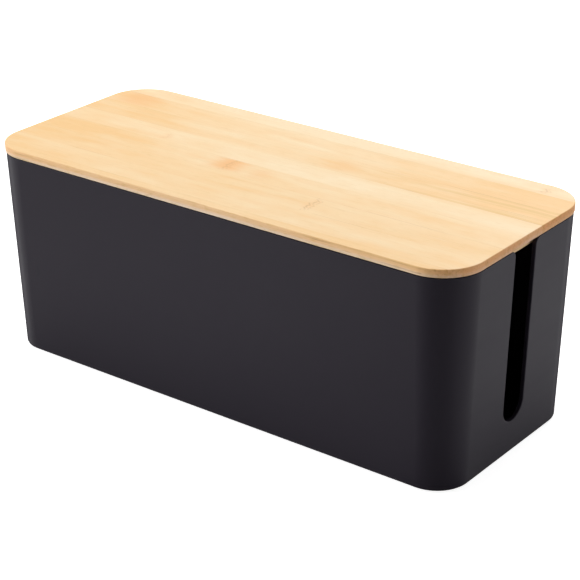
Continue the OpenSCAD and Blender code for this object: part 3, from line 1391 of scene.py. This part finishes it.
@dataclass
class Studio:
    """A pale floor, a white surround, soft lamps and the camera. The floor's places are in millimetres."""

    floor_reach: float = 6.0
    floor_colour: Color = (0.80, 0.80, 0.80)
    floor_roughness: float = 0.9
    floor_lift: float = 0.88
    far_fade: Pair = (500.0, 2500.0)
    gloss_lift: float = 0.66
    # Painted light and painted shade on the floor, which only gloss rays see.
    bright_lift: float = 1.5
    bright_spot: Pair = (-70.0, -320.0)
    bright_reach: float = 260.0
    near_shade: float = 0.45
    near_reach: float = 80.0
    dark_corner: Pair = (130.0, -36.0)
    dark_way: float = -60.0
    dark_fade: Pair = (0.6, 0.95)
    dark_shade: float = 0.95
    surround: float = 0.05
    lens: float = 114.54
    sensor: float = 36.0
    clip: Pair = (0.01, 50.0)
    camera_place: tuple[float, float, float] = (588.119 * MM, -754.063 * MM, 491.931 * MM)
    azimuth: float = 37.574
    elevation: float = 24.577
    roll: float = -0.466
    lamps: tuple[Lamp, ...] = (
        Lamp("left_front", (-2.12, -1.77, 0.80), 1.5, 53),
        Lamp("left_high", (-0.45, 0, 1.90), 1.2, 23),
        Lamp("rear", (-0.27, 1.53, 1.15), 1.0, 11),
        Lamp("right", (1.70, 0.69, 0.55), 1.0, 9.6),
    )

    def gloss(self, net: Surface) -> Signal:
        """The floor's glow in a gloss: a painted pool of light at a spot in front, and painted shade by the
        tub and before its corner, which only reflections show.
        """
        spot = net.math("LENGTH", net.place - (*self.bright_spot, 0))
        glow = self.gloss_lift + net.fade(spot, self.bright_reach, 0.0) * self.bright_lift
        gaps = {
            name: net.most(abs(part) - edge / MM, 0.0)
            for name, part, edge in zip("XY", net.place.parts(), CAD_BOX[1])
        }
        away = net.math("LENGTH", net.add("ShaderNodeCombineXYZ", gaps))
        # Painted shade on the floor by the tub, seen only in reflections.
        near = net.fade(away, self.near_reach, 0.0) * self.near_shade
        turn = math.radians(self.dark_way)
        ray = net.math("NORMALIZE", net.place - (*self.dark_corner, 0))
        along = net.math("DOT_PRODUCT", ray, (math.cos(turn), math.sin(turn), 0))
        # Painted shade on the floor before the tub's corner, seen only in reflections.
        dark = net.fade(along, *self.dark_fade) * self.dark_shade
        return glow * (1.0 - near) * (1.0 - dark)

    def lift(self, net: Surface) -> Signal:
        """How much the floor is lifted towards white, for the camera, through glass and in a gloss."""
        far = net.fade(net.math("LENGTH", net.place), *self.far_fade) * (1.0 - self.floor_lift)
        shown = net.most(net.ray("Camera"), net.ray("Transmission"))
        return shown * (far + self.floor_lift) + net.ray("Glossy") * self.gloss(net)

    def lay_floor(self) -> None:
        """Lays the floor, which keeps the box's shadow."""
        mesh = bmesh.new()
        bmesh.ops.create_grid(mesh, x_segments=1, y_segments=1, size=self.floor_reach)
        floor = loose_object("studio_floor", mesh)
        net = Surface("studio_floor")
        floor.data.materials.append(net.dress({
            "Base Color": self.floor_colour,
            "Roughness": self.floor_roughness,
            "Specular IOR Level": 0.0,
            "Emission Color": (1, 1, 1),
            "Emission Strength": self.lift(net),
        }))

    def light_surround(self) -> None:
        """Sets the surround: white where it is seen or mirrored, and a soft even light elsewhere."""
        world = bpy.data.worlds.new("surround")
        world.use_nodes = True
        world.node_tree.nodes.clear()
        net = Net(world.node_tree)
        soft, white = (
            net.add("ShaderNodeBackground", {"Color": (1, 1, 1), "Strength": strength})
            for strength in (self.surround, 1.0)
        )
        seen = net.most(net.ray("Camera"), net.ray("Glossy"), net.ray("Transmission"))
        both = net.add("ShaderNodeMixShader", {0: seen, 1: soft, 2: white})
        net.node("ShaderNodeOutputWorld", {"Surface": both})
        bpy.context.scene.world = world

    def set_camera(self) -> None:
        """Sets up the camera and the plain colour transform."""
        data = bpy.data.cameras.new("camera")
        data.lens = self.lens
        data.sensor_width = self.sensor
        data.clip_start, data.clip_end = self.clip
        camera = placed("camera", data)
        turns = (self.azimuth, "Z"), (90 - self.elevation, "X"), (self.roll, "Z")
        camera.matrix_world = Matrix.Translation(self.camera_place)
        for angle, axis in turns:
            camera.matrix_world @= Matrix.Rotation(math.radians(angle), 4, axis)
        bpy.context.scene.camera = camera
        bpy.context.scene.view_settings.view_transform = "Standard"

    def build(self) -> None:
        """Builds the studio."""
        self.lay_floor()
        self.light_surround()
        for lamp in self.lamps:
            lamp.build()
        self.set_camera()


def main() -> None:
    """Builds the box's pieces in order, then the studio."""
    logging.basicConfig(level=logging.INFO, format="%(message)s")
    screws = Screws()
    tub = Tub()
    tub.build()
    Feet().build()
    LidBoard().build(screws)
    Battens().build(screws, tub)
    screws.build()
    Pads().build()
    Studio().build()


if __name__ == "__main__":
    main()
